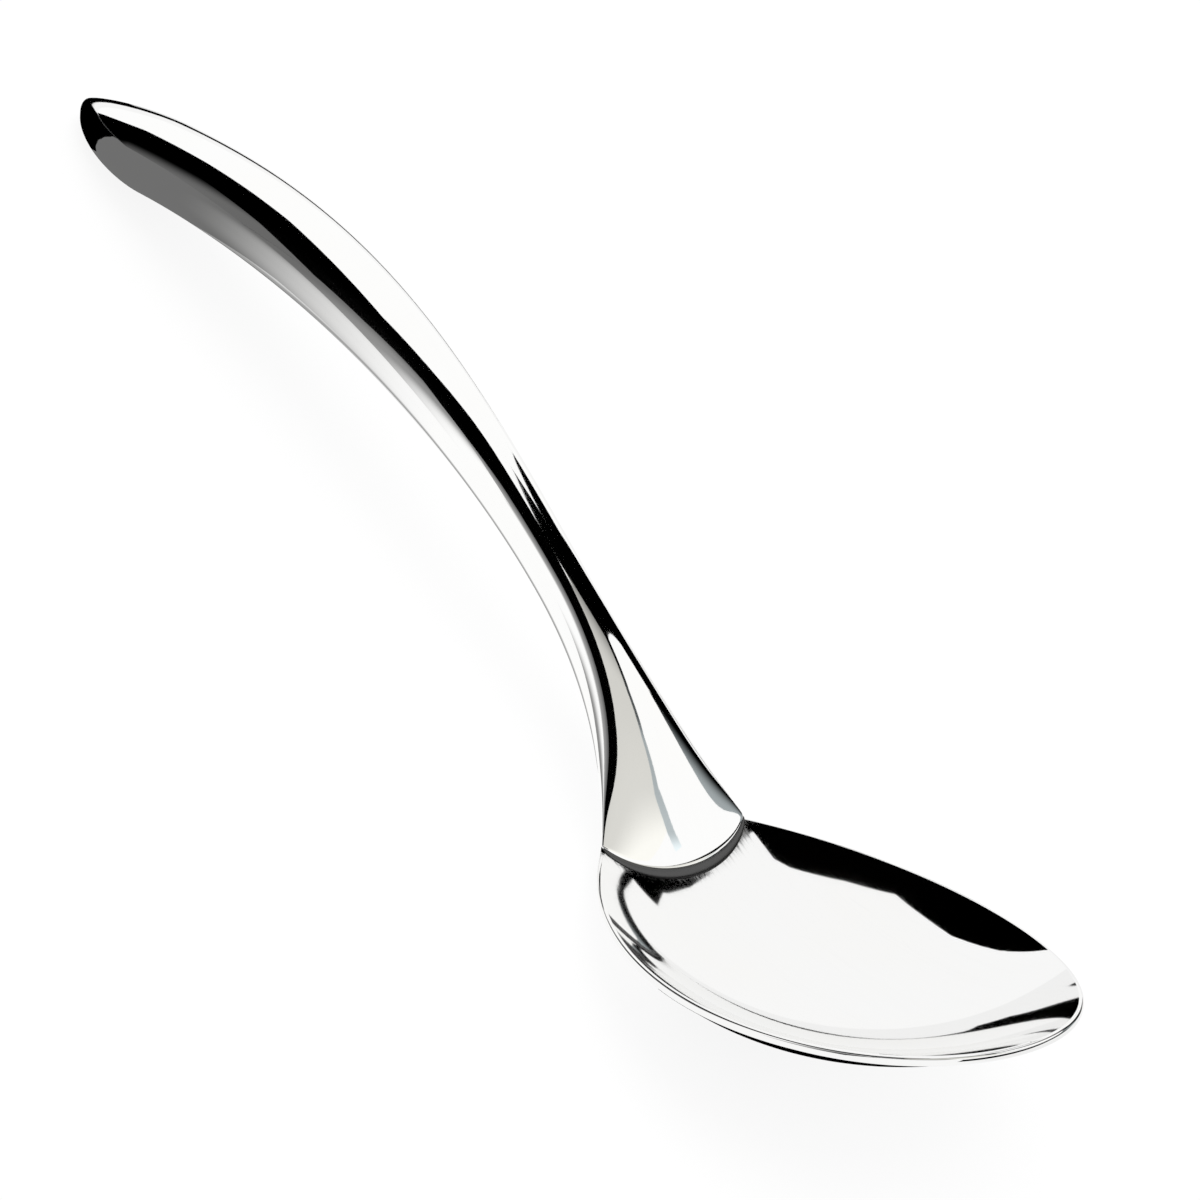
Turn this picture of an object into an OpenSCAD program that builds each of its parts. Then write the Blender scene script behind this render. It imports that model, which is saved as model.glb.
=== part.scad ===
// Serving spoon in polished stainless steel: a pressed bowl and a hollow handle.
// The handle is two pressed half shells, welded along both sides and to the bowl.
// Sizes are first worked out along the bowl: X points from the widest line to the
// front tip, Y goes across, and Z is upright from the side rims. The whole spoon
// is then tipped back to the pose in which it lies on a table.

/* [Bowl] */
// Width of the bowl across its rim, at the widest line
bowl_w = 60; // [52:0.5:68]
// Length from the widest line to the front tip
front_l = 36.4; // [32:0.2:44]
// Length from the widest line to where the rim outline would close under the handle
rear_l = 42; // [39:0.5:48]
// Depth of the bowl below its side rims, inside
bowl_depth = 8.2; // [6:0.2:11]
// Height of the rim at the front tip, above the side rims
front_rise = 2.4; // [0:0.2:4]
// Height of the rim outline where it would close under the handle, above the side rims
rear_rise = 3.4; // [1.4:0.2:5]
// Thickness of the bowl's sheet, measured upright
sheet_t = 1.3; // [1:0.1:1.8]

/* [Handle] */
// Length of the handle along the bowl, from the corners of its mouth to its end
handle_reach = 179.2; // [150:0.2:210]
// Height that the handle climbs from the corners of its mouth to its end
handle_rise = 69; // [50:0.5:80]
// Width of the grip, across
grip_w = 18.2; // [14:0.2:24]
// Thickness of the grip, top to bottom
grip_h = 13.8; // [10:0.2:17]
// Width of the neck, across
neck_w = 8.4; // [7:0.2:11]
// Thickness of the neck, top to bottom
neck_h = 7.6; // [6.4:0.2:10]
// Wall of the two pressed shells
shell_t = 1; // [0.8:0.1:1.2]

/* [Mouth and welds] */
// Distance from where the rim outline would close forward to the corners of the handle's mouth
mouth_in = 6.3; // [5:0.1:8]
// How far the middle of the mouth reaches forward of its corners
mouth_lap = 4.2; // [3:0.1:6]
// Height of the mouth's lip above the sheet, at its middle
lip_h = 0.9; // [0.7:0.1:1.3]
// Width of the lip's seat on the sheet
seat_l = 1.2; // [0.8:0.1:1.8]
// Clearance between the lip, its weld and the sheet
seat_clear = 0.05; // [0.02:0.01:0.1]
// Width of the weld that joins the two shells along the sides
seam_w = 0.8; // [0.5:0.1:1.1]
// Leg of the fillet weld round the mouth
weld_leg = 1.2; // [0.8:0.1:1.8]
// Gap on each side of the tongue inside the mouth
tongue_clear = 2; // [1.4:0.1:2.4]

/* [Hidden] */

// The handle's middle line is one curve through these control points, from the
// mouth to the end, as shares of handle_reach and handle_rise
handle_curve_shares = [[0, 0], [0.1, 0.36], [0.24, 0.51], [0.38, 0.83], [0.59, 1.01], [1, 1]];
// Where along that curve the neck and the grip are, and where the end starts to round off
neck_at_share = 0.29;
grip_at_share = 0.864;
tip_from_share = 0.917;
// How much of the half thickness the rounded end lifts towards the top of the handle
tip_lift_share = 0.63;
// How far the rim outline draws in towards the front and towards the handle
front_taper_share = 0;
rear_taper_share = 0.15;
// How far along the curve the mouth takes the sheet between the shells, how far its
// lip follows the sheet, and how far the tongue reaches into the handle
split_share = 0.06;
scribe_share = 0.11;
tongue_share = 0.13;
// Part of the lip's height that its weld covers
weld_height_share = 0.85;
// How evenly the bowl's floor curves to its sides, to its front and to the handle: 1 is
// a dish, and less makes the floor flatter and the wall steeper
side_even_share = 0.4;
front_even_share = 1;
rear_even_share = 0.8;
// Power of the end's outline: 2 is an ellipse, and less is more pointed
tip_power = 1.75;
// Power of the mouth's cross section: 1 is an ellipse, and more is more pointed
mouth_power = 1.35;
// Power with which the lip rises from the corners of the mouth
lip_power = 0.5;

// Counts of facets: along the handle and its end, round half a section, along the
// bowl, across the bowl, along the tongue, and round the mouth's welds
body_n = 34;
tip_n = 10;
arc_n = 15;
bowl_n = 32;
across_n = 20;
band_n = 2;
tongue_n = 6;
weld_n = 26;
// Angle at which the mouth's welds start, from its corners
weld_from = 9;

function lerp(a, b, f) = a + (b - a) * f;
function clamp(f) = min(1, max(0, f));
function ease(f) = clamp(f) * clamp(f) * (3 - 2 * clamp(f));
function unit(v) = v / norm(v);

// A point of the curve whose control points are given
function bezier(points, f) =
    len(points) == 1 ? points[0]
    : bezier([for (i = [1:len(points) - 1]) lerp(points[i - 1], points[i], f)], f);

// Bowl: place along the rim outline, -1 where it closes under the handle, 1 at the tip
bowl_skew = (front_l - rear_l) / (front_l + rear_l);
bowl_mid = front_l * (1 - bowl_skew);
function along(x) = x / (bowl_mid + bowl_skew * x);
// A value that is front at the front tip and rear at the other end
function mix_ends(front, rear, u) = (front + rear) / 2 + (front - rear) / 2 * u;
function fullness(u) = 1 - u * u * mix_ends(front_taper_share, rear_taper_share, u);
function rim_half(x) = bowl_w / 2 * sqrt(max(0, 1 - pow(along(x), 2))) * fullness(along(x));
function rim_z(x) = pow(along(x), 2) * mix_ends(front_rise, rear_rise, along(x));
function even_share(u) = lerp(side_even_share, u > 0 ? front_even_share : rear_even_share, u * u);
function spread(u, y) = min(1, u * u + pow(y / (bowl_w / 2 * fullness(u)), 2));
function hollow(even, d) = 1 - d * (even + (1 - even) * d);
function floor_z(x, y) = rim_z(x) - bowl_depth * hollow(even_share(along(x)), spread(along(x), y));

// Mouth of the handle, whose corners lie on the rim
mouth_x = mouth_in - rear_l;
mouth_half = rim_half(mouth_x);
mouth_mid = [mouth_x, rim_z(mouth_x) - sheet_t / 2];
function lip_z(phi) = seat_clear + (lip_h - seat_clear) * pow(sin(phi), lip_power);

// Middle line of the handle, as [x, z]
handle_points = [for (p = handle_curve_shares) mouth_mid + [-p[0] * handle_reach, p[1] * handle_rise]];
handle_degree = len(handle_points) - 1;
handle_steps = [for (i = [1:handle_degree]) (handle_points[i] - handle_points[i - 1]) * handle_degree];
function mid_at(s) = bezier(handle_points, s);
function back_dir(s) = unit(bezier(handle_steps, s));
function up_dir(s) = [back_dir(s)[1], -back_dir(s)[0]];
tip_speed = norm(bezier(handle_steps, 1));

// Half width and half thickness along the handle, before its end rounds off
function flare(s) = pow(max(0, 1 - s / neck_at_share), 2);
function swell(s) = ease((s - neck_at_share) / (grip_at_share - neck_at_share));
function half_w(s) = lerp(neck_w / 2, mouth_half, flare(s)) + (grip_w - neck_w) / 2 * swell(s);
function half_h(s) = lerp(neck_h, grip_h, swell(s)) / 2;

// Half of the gap between the two shells: the side weld, opening to the sheet at the mouth
function split_h(s) = lerp(seam_w / 2, sheet_t / 2 + seat_clear, pow(max(0, 1 - s / split_share), 2));
function split_dir(s) = unit(lerp(up_dir(s), [0, 1], flare(s)));

// The lip laps onto the sheet above it (side 1), and below it (side -1) only by its seat,
// as the sheet bends up into the handle there
function lap(side) = side > 0 ? mouth_lap : seat_l;

// Lip point at the middle of the mouth
function lip_mid(side) =
    let (x = mouth_x + lap(side))
    [x, floor_z(x, 0) - (side > 0 ? 0 : sheet_t) + side * lip_h];

// Crown (side 1) and belly (side -1) of the handle: from the neck on they stand square
// to the middle line, and towards the mouth they lean forward to the lip
function ridge_reach(side) = norm(lip_mid(side) - mouth_mid);
function ridge_lean(side) =
    let (v = lip_mid(side) - mouth_mid)
    atan2(-v * back_dir(0), side * (v * up_dir(0)));
function ridge(side, s) =
    let (reach = lerp(half_h(s), ridge_reach(side), flare(s)))
    let (lean = ridge_lean(side) * flare(s))
    mid_at(s) + reach * (side * cos(lean) * up_dir(s) - sin(lean) * back_dir(s));
// The same ridge, a wall's thickness inside, and drawn back at the mouth to the lip's seat
ridge_step_share = 0.002;
function ridge_in(side, s) =
    let (run = unit(ridge(side, s + ridge_step_share) - ridge(side, max(0, s - ridge_step_share))))
    ridge(side, s) - side * shell_t * [run[1], -run[0]];
function seat_mid(side) =
    let (x = mouth_x + lap(side) - seat_l)
    [x, floor_z(x, 0) - (side > 0 ? 0 : sheet_t) + side * seat_clear];
function ridge_seated(side, s) =
    ridge_in(side, s) + scribe_fade(s) * (seat_mid(side) - ridge_in(side, 0));
function scribe_fade(s) = pow(max(0, 1 - s / scribe_share), 2);

// Stations from the mouth to the end: [place on the curve, part of the section left]
function tip_turn(k) = pow(sin(90 * k / tip_n), 2 / tip_power);
function tip_left(k) = pow(cos(90 * k / tip_n), 2 / tip_power);
function stations(tip_share) = concat(
    [for (k = [0:body_n - 1]) [tip_from_share * k / body_n, 1]],
    [for (k = [0:tip_n]) [tip_from_share + tip_share * tip_turn(k), tip_left(k)]]
);
outer_stations = stations(1 - tip_from_share);
inner_stations = stations(1 - tip_from_share - shell_t / tip_speed);

// Half a section of the handle at one station: from the +Y side over the ridge to the -Y side
function arc_phi(i) = 180 * i / arc_n;
function half_section(side, station, wall) =
    let (s = station[0])
    let (left = station[1])
    let (rest = half_h(s) - wall)
    let (half = (half_w(s) - wall) * left)
    let (lift = tip_lift_share * rest * (1 - left) * up_dir(s))
    let (seam = mid_at(s) + lift + side * split_h(s) * split_dir(s))
    let (crown = wall > 0 ? ridge_seated(side, s) : ridge(side, s))
    let (top = left < 1 ? mid_at(s) + side * rest * up_dir(s) : crown)
    let (chord = (top - mid_at(s) - side * split_h(s) * split_dir(s)) * left)
    let (power = lerp(1, mouth_power, flare(s)))
    [for (i = [0:arc_n])
        let (p = seam + chord * pow(sin(arc_phi(i)), power))
        [p[0], half * cos(arc_phi(i)), p[1]]];

// The same half section, bent near the mouth so that its edge lies along the sheet
function mouth_arc_x(side, phi) = mouth_x + lap(side) * pow(sin(phi), mouth_power);
function sheet_z(side, x, y) = floor_z(x, y) - (side > 0 ? 0 : sheet_t);
function scribed(side, station, wall) =
    let (flat = half_section(side, station, wall))
    let (start = half_section(side, [0, 1], wall))
    let (fade = scribe_fade(station[0]))
    [for (i = [0:arc_n])
        let (q = start[i])
        let (gap = wall > 0 ? seat_clear : lip_z(arc_phi(i)))
        flat[i] + [0, 0, fade * (sheet_z(side, q[0], q[1]) + side * gap - q[2])]];

upper_outer = [for (t = outer_stations) scribed(1, t, 0)];
upper_inner = [for (t = inner_stations) scribed(1, t, shell_t)];
lower_outer = [for (t = outer_stations) scribed(-1, t, 0)];
lower_inner = [for (t = inner_stations) scribed(-1, t, shell_t)];
tip_k = body_n + tip_n;

// Foot of the lip, straight above or below the sheet
function foot(side, outer) = [for (p = outer) [p[0], p[1], sheet_z(side, p[0], p[1]) + side * seat_clear]];

// Skin over a row of closed rings. Points in one place, in a ring or in the ring before
// it, are shared, so that a ring may close to a point. Pieces that meet along a twisted
// face are both split along its shorter diagonals, so that their facets agree.
module skin(rings, shorter) {
    m = len(rings[0]);
    last = len(rings) - 1;
    points = [for (ring = rings) each ring];
    function first_same(ring, p) = [for (i = [0:m - 1]) if (ring[i] == p) i][0];
    function shared(j, i) =
        let (before = j > 0 ? first_same(rings[j - 1], rings[j][i]) : undef)
        is_undef(before) ? j * m + first_same(rings[j], rings[j][i]) : shared(j - 1, before);
    places = [for (j = [0:last]) [for (i = [0:m - 1]) shared(j, i)]];
    function whole(t) = t[0] != t[1] && t[1] != t[2] && t[2] != t[0];
    function apart(a, b) = norm(points[a] - points[b]);
    function turned(a, b, c, d) = shorter && apart(b, d) < apart(a, c);
    function halves(a, b, c, d) = turned(a, b, c, d) ? [[a, b, d], [b, c, d]] : [[a, b, c], [a, c, d]];
    function quad(a, b, c, d) = [for (t = halves(a, b, c, d)) if (whole(t)) t];
    function at(j, i) = places[j][i % m];
    sides = [for (j = [0:last - 1]) for (i = [0:m - 1])
        each quad(at(j, i), at(j, i + 1), at(j + 1, i + 1), at(j + 1, i))];
    first_end = [for (i = [0:ceil(m / 2) - 2])
        each quad(at(0, i + 1), at(0, i), at(0, m - 1 - i), at(0, m - 2 - i))];
    last_end = [for (i = [0:ceil(m / 2) - 2])
        each quad(at(last, i), at(last, i + 1), at(last, m - 2 - i), at(last, m - 1 - i))];
    polyhedron(points = points, faces = concat(sides, first_end, last_end));
}

// Order of a list turned round
function back_order(list) = [for (i = [len(list) - 1:-1:0]) list[i]];

// Bowl: rows across the sheet, from the front tip back to the mouth's corners, then
// along the tongue that sits in the handle
tongue_half_share = (mouth_half - shell_t - tongue_clear) / mouth_half;
inner_n = across_n - 2 * band_n;
function band_share(i) = lerp(1, tongue_half_share, i / band_n);
across_shares = concat(
    [for (i = [0:band_n - 1]) -band_share(i)],
    [for (i = [0:inner_n]) -tongue_half_share * cos(180 * i / inner_n)],
    [for (i = [band_n - 1:-1:0]) band_share(i)]
);
narrow_shares = [for (v = across_shares) min(tongue_half_share, max(-tongue_half_share, v))];
bowl_centre = (front_l - rear_l) / 2;
bowl_reach = (front_l + rear_l) / 2;
bowl_turn = acos((mouth_x - bowl_centre) / bowl_reach);
function bowl_x(k) = k == bowl_n ? mouth_x : bowl_centre + bowl_reach * cos(bowl_turn * k / bowl_n);
function sheet_ring(x, shares) =
    let (top = [for (v = shares) [x, v * rim_half(x), floor_z(x, v * rim_half(x))]])
    concat(top, [for (p = back_order(top)) p - [0, 0, sheet_t]]);
function tongue_ring(k) =
    let (s = tongue_share * k / tongue_n)
    let (half = half_w(s) - shell_t - tongue_clear)
    let (dir = unit(lerp([0, 1], up_dir(s), min(1, 2 * k / tongue_n))) * sheet_t / 2)
    let (fade = 1 - k / tongue_n)
    let (rows = [for (v = narrow_shares)
        let (cross = fade * (floor_z(mouth_x, v * mouth_half) - rim_z(mouth_x)))
        [mid_at(s)[0], half * v / tongue_half_share, mid_at(s)[1] + cross]])
    concat(
        [for (p = rows) p + [dir[0], 0, dir[1]]],
        [for (p = back_order(rows)) p - [dir[0], 0, dir[1]]]
    );
bowl_rings = concat(
    [for (k = [0:bowl_n]) sheet_ring(bowl_x(k), across_shares)],
    [sheet_ring(mouth_x, narrow_shares)],
    [for (k = [1:tongue_n]) tongue_ring(k)]
);

// Fillet weld between the lip and the sheet, drawn round the mouth. Its section has these
// points, as shares of its leg and of its height.
weld_section_shares = [[0, 0], [0, 1], [0.15, 0.5], [0.45, 0.2], [1, 0]];
function weld_ring(side, k) =
    let (phi = lerp(weld_from, 180 - weld_from, k / weld_n))
    let (p = [mouth_arc_x(side, phi), mouth_half * cos(phi)])
    let (arc_slope = lap(side) * mouth_power * pow(sin(phi), mouth_power - 1) * cos(phi))
    let (out = unit([mouth_half * sin(phi), arc_slope]))
    let (leg = weld_leg * sin(phi))
    let (tall = weld_height_share * (lip_z(phi) - seat_clear))
    [for (c = weld_section_shares)
        let (q = p + (seat_clear + leg * c[0]) * out)
        [q[0], q[1], sheet_z(side, q[0], q[1]) + side * (seat_clear + tall * c[1])]];

// Rest pose: the line under the spoon touches the heel of the bowl and the handle's end.
// An odd number of facets leaves a flat one in the middle, so that the spoon lies still.
belly_i = floor(arc_n / 2);
under_heel = concat(
    [for (k = [0:bowl_n]) let (x = bowl_x(k)) [x, floor_z(x, 0) - sheet_t]],
    [for (p = [lower_outer[0][belly_i]]) [p[0], p[2]]]
);
under_end = [for (j = [floor(body_n / 2):tip_k]) let (p = lower_outer[j][belly_i]) [p[0], p[2]]];
rest_tilt = min([for (e = under_end) max([for (h = under_heel) atan2(e[1] - h[1], h[0] - e[0])])]);
function rest_x(x, z) = x * cos(rest_tilt) - z * sin(rest_tilt);
function rest_z(x, z) = x * sin(rest_tilt) + z * cos(rest_tilt);
rest_low = min([for (h = concat(under_heel, under_end)) rest_z(h[0], h[1])]);
rest_front = rest_x(front_l, front_rise - sheet_t);
rest_back = min([for (ring = concat(upper_outer, lower_outer)) for (p = ring) rest_x(p[0], p[2])]);

module at_rest() {
    translate([-(rest_front + rest_back) / 2, 0, -rest_low]) rotate([0, -rest_tilt, 0]) children();
}

module bowl() {
    color("gainsboro") at_rest() skin(back_order(bowl_rings), false);
}

module shell(side, outer, inner) {
    rings = concat(
        [concat(foot(side, outer[0]), back_order(inner[0]))],
        [for (j = [0:tip_k]) concat(outer[j], back_order(inner[j]))]
    );
    skin(side > 0 ? rings : back_order(rings), true);
}

module handle_upper_shell() {
    color("silver") at_rest() shell(1, upper_outer, upper_inner);
}

module handle_lower_shell() {
    color("darkgray") at_rest() shell(-1, lower_outer, lower_inner);
}

// One bead that runs from a corner of the mouth round the handle's end to the other corner
module seam_weld() {
    function bead(j, i) = [upper_outer[j][i], lower_outer[j][i], lower_inner[j][i], upper_inner[j][i]];
    rings = concat([for (j = [0:tip_k]) bead(j, arc_n)], [for (j = [tip_k:-1:0]) bead(j, 0)]);
    color("lightsteelblue") at_rest() skin(rings, true);
}

module mouth_weld(side) {
    rings = [for (k = [0:weld_n]) weld_ring(side, k)];
    at_rest() skin(side > 0 ? rings : back_order(rings), false);
}

module upper_mouth_weld() {
    color("slategray") mouth_weld(1);
}

module lower_mouth_weld() {
    color("slategray") mouth_weld(-1);
}

bowl();
handle_upper_shell();
handle_lower_shell();
seam_weld();
upper_mouth_weld();
lower_mouth_weld();
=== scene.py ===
import math

import bpy
from mathutils import Matrix, Vector


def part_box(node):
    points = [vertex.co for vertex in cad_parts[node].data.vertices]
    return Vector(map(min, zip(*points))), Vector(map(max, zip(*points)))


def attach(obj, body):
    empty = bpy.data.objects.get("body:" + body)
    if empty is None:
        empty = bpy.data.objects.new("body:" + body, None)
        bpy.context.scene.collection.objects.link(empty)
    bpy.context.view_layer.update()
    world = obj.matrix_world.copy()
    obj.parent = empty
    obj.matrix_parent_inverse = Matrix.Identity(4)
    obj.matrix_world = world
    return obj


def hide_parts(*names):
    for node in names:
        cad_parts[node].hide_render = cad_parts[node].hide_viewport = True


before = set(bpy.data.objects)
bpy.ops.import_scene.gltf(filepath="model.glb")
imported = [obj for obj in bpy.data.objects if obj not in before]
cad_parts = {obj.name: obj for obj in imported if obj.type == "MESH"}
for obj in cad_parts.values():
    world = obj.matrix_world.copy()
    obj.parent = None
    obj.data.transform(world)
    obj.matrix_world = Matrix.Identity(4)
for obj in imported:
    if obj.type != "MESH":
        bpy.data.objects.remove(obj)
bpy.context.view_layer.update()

bl_info = {
    "name": "Serving Spoon",
    "version": (1, 0, 0),
    "blender": (4, 5, 0),
    "location": "3D View > Sidebar > Spoon",
    "description": "Builds a polished hollow-handle serving spoon and its studio",
    "category": "Add Mesh",
}

MM = 0.001

# The handle's middle line is one curve, drawn by these control points from the mouth to the
# end, as shares of the handle's reach and rise
HANDLE_CURVE_SHARES = ((0, 0), (0.1, 0.36), (0.24, 0.51), (0.38, 0.83), (0.59, 1.01), (1, 1))

# Facets of the shells: along the handle, round its end, over the lip and across
BODY_ROWS = 300
END_ROWS = 48
LIP_ROWS = 10
SHELL_COLUMNS = 72
# Facets of the bowl: from its tip to the mouth, along the tongue, across and round the edge
BOWL_ROWS = 260
TONGUE_ROWS = 16
SHEET_COLUMNS = 110
RIM_COLUMNS = 12
# Facets of the fillets: along the mouth and across
WELD_ROWS = 160
WELD_COLUMNS = 10
# Points nearer than this are merged, and edges that turn more than this stay sharp
MERGE_DISTANCE = 0.0015 * MM
SHARP_ANGLE = math.radians(38)


class Value:
    """A number in a node tree. Arithmetic on it adds the tree's Math nodes."""

    def __init__(self, tree, socket):
        self.tree = tree
        self.socket = socket

    def solved(self, operation, *values):
        made = self.tree.node("ShaderNodeMath", {"operation": operation}, dict(enumerate(values)))
        return Value(self.tree, made.outputs[0])

    def __add__(self, other):
        return self.solved("ADD", self, other)

    def __radd__(self, other):
        return self.solved("ADD", other, self)

    def __sub__(self, other):
        return self.solved("SUBTRACT", self, other)

    def __rsub__(self, other):
        return self.solved("SUBTRACT", other, self)

    def __mul__(self, other):
        return self.solved("MULTIPLY", self, other)

    def __rmul__(self, other):
        return self.solved("MULTIPLY", other, self)

    def __truediv__(self, other):
        return self.solved("DIVIDE", self, other)

    def __rtruediv__(self, other):
        return self.solved("DIVIDE", other, self)


def solver(operation, plain):
    """A sum that works on plain numbers, and on a node tree's values where any of them is one."""

    def solve(*values):
        for value in values:
            if isinstance(value, Value):
                return value.solved(operation, *values)
        return plain(*values)

    return solve


sine = solver("SINE", math.sin)
cosine = solver("COSINE", math.cos)
arc_cosine = solver("ARCCOSINE", math.acos)
arc_tangent = solver("ARCTAN2", math.atan2)
root = solver("SQRT", math.sqrt)
power = solver("POWER", math.pow)
least = solver("MINIMUM", min)
most = solver("MAXIMUM", max)
whole = solver("FLOOR", math.floor)
times_plus = solver("MULTIPLY_ADD", lambda first, second, added: first * second + added)


def polynomial(factors, share):
    """The sum of each factor times its power of the share, lowest power first."""
    total = factors[-1]
    for factor in reversed(factors[:-1]):
        total = times_plus(total, share, factor)
    return total


def clamp(number):
    return least(1, most(0, number))


def mixed(first, second, share):
    """What lies between two numbers or two pairs, at this share of the way."""
    return first + (second - first) * share


def ease(share):
    held = clamp(share)
    return held * held * (3 - 2 * held)


def faded(share, end):
    """1 at a share of nought, falling ever more slowly to nought at the end."""
    left = most(0, 1 - share / end)
    return left * left


class Pair:
    """A point or a direction in the spoon's upright middle plane."""

    def __init__(self, x, z):
        self.x = x
        self.z = z

    def __add__(self, other):
        return Pair(self.x + other.x, self.z + other.z)

    def __sub__(self, other):
        return Pair(self.x - other.x, self.z - other.z)

    def __mul__(self, factor):
        return Pair(self.x * factor, self.z * factor)

    def dot(self, other):
        return self.x * other.x + self.z * other.z

    def length(self):
        return root(self.dot(self))

    def unit(self):
        return self * (1 / self.length())


def curve_factors(places):
    """Factors of the powers of the share, for the curve that has these control places."""
    degree = len(places) - 1
    return [
        math.comb(degree, j) * sum((-1) ** (i + j) * math.comb(j, i) * places[i] for i in range(j + 1))
        for j in range(degree + 1)
    ]


def slope_factors(factors):
    return [j * factor for j, factor in enumerate(factors)][1:]


HANDLE_X_FACTORS = curve_factors([x for x, z in HANDLE_CURVE_SHARES])
HANDLE_Z_FACTORS = curve_factors([z for x, z in HANDLE_CURVE_SHARES])


class Tree:
    """A node tree that is filled from Python."""

    def __init__(self, tree):
        self.tree = tree

    def node(self, kind, settings=None, inputs=None):
        """Adds a node: its settings first, then the values or links of its sockets."""
        made = self.tree.nodes.new(kind)
        for name, setting in (settings or {}).items():
            setattr(made, name, setting)
        for name, value in (inputs or {}).items():
            self.feed(made.inputs[name], value)
        return made

    def feed(self, socket, value):
        if isinstance(value, Value):
            self.tree.links.new(value.socket, socket)
        elif isinstance(value, bpy.types.NodeSocket):
            self.tree.links.new(value, socket)
        else:
            socket.default_value = value

    def value(self, kind, settings=None, inputs=None):
        """Adds a node and returns its first output as a value."""
        return Value(self, self.node(kind, settings, inputs).outputs[0])

    def vector(self, x, y, z):
        return self.node("ShaderNodeCombineXYZ", {}, {"X": x, "Y": y, "Z": z}).outputs[0]

    def parts(self, vector):
        """The three parts of a vector, as values."""
        split = self.node("ShaderNodeSeparateXYZ", {}, {"Vector": vector})
        return [Value(self, output) for output in split.outputs]

    def place(self):
        """Each point's place in its object's own axes."""
        return self.node("ShaderNodeTexCoord").outputs["Object"]


def size(name, millimetres, description):
    """A length that a user can change."""
    return bpy.props.FloatProperty(
        name=name,
        description=description,
        default=millimetres * MM,
        unit="LENGTH",
    )


class SpoonSizes(bpy.types.PropertyGroup):
    """Sizes of the spoon, along the bowl's own axes."""

    bowl_width: size("Bowl width", 60, "Width of the bowl across its rim, at the widest line")
    front_length: size("Front length", 36.4, "Length from the widest line to the front tip")
    rear_length: size(
        "Rear length",
        42,
        "Length from the widest line to where the rim outline would close under the handle",
    )
    bowl_depth: size("Bowl depth", 8.2, "Depth of the bowl below its side rims, inside")
    front_rise: size("Front rise", 2.4, "Height of the rim at the front tip, above the side rims")
    rear_rise: size("Rear rise", 3.4, "Height of the rim outline where it would close under the handle")
    sheet: size("Sheet", 1.3, "Thickness of the bowl's sheet, measured upright")
    rim_round: size("Rim rounding", 0.8, "How far the polished edge of the rim is rounded inwards")
    handle_reach: size(
        "Handle reach", 179.2, "Length of the handle along the bowl, from its mouth's corners to its end"
    )
    handle_rise: size(
        "Handle rise", 69, "Height that the handle climbs from its mouth's corners to its end"
    )
    grip_width: size("Grip width", 18.2, "Width of the grip, across")
    grip_height: size("Grip height", 13.8, "Thickness of the grip, top to bottom")
    neck_width: size("Neck width", 8.4, "Width of the neck, across")
    neck_height: size("Neck height", 7.6, "Thickness of the neck, top to bottom")
    shell: size("Shell", 1, "Wall of the two pressed shells")
    mouth_in: size(
        "Mouth place", 6.3, "Distance forward from where the rim would close to the corners of the mouth"
    )
    mouth_lap: size("Mouth lap", 4.2, "How far the middle of the mouth reaches forward of its corners")
    lip_height: size("Lip height", 0.9, "Height of the mouth's lip above the sheet, at its middle")
    seat_length: size("Lip seat", 1.2, "Width of the lip's seat on the sheet")
    seat_clear: size("Seat clearance", 0.05, "Clearance between the lip, its weld and the sheet")
    seam_width: size("Seam width", 0.8, "Width of the weld that joins the two shells")
    weld_leg: size("Weld leg", 1.2, "Leg of the fillet weld round the mouth")
    tongue_clear: size("Tongue clearance", 2, "Gap on each side of the tongue inside the mouth")


SIZE_NAMES = tuple(SpoonSizes.__annotations__)

# Places along the handle's curve, as shares of it: the neck, the grip, the start of the
# rounded end, the end of the widened split and of the scribed lip, and the tongue's reach
NECK_SHARE = 0.29
GRIP_SHARE = 0.864
END_SHARE = 0.917
SPLIT_SHARE = 0.06
SCRIBE_SHARE = 0.11
TONGUE_SHARE = 0.13
# How far the end's tip is lifted in the section, and how much the bowl's rear is narrowed
END_LIFT_SHARE = 0.63
REAR_TAPER_SHARE = 0.15
# Height of the fillets as a share of the lip's, and the angle round the mouth where they start
WELD_HEIGHT_SHARE = 0.85
WELD_FROM = math.radians(9)
# How evenly the bowl's floor curves to its sides, to its front and to the handle
EVEN_SIDE_SHARE = 0.4
EVEN_FRONT_SHARE = 1
EVEN_REAR_SHARE = 0.8
# Powers of the end's outline, the mouth's section, the lip and the rim
END_POWER = 1.75
MOUTH_POWER = 1.35
LIP_POWER = 0.5
RIM_POWER = 0.6
# Share of the lip's height, and of the handle's curve, that the lip's rounding takes
LIP_ROUND_SHARE = 0.45
LIP_BACK_SHARE = 0.0035
# The resting end is sought from this share of the handle's curve on, in this many steps
REST_FROM_SHARE = 0.5
REST_STEPS = 400
# Least square of a slope that is divided by
LEAST_SQUARE = 0.000001


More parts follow.
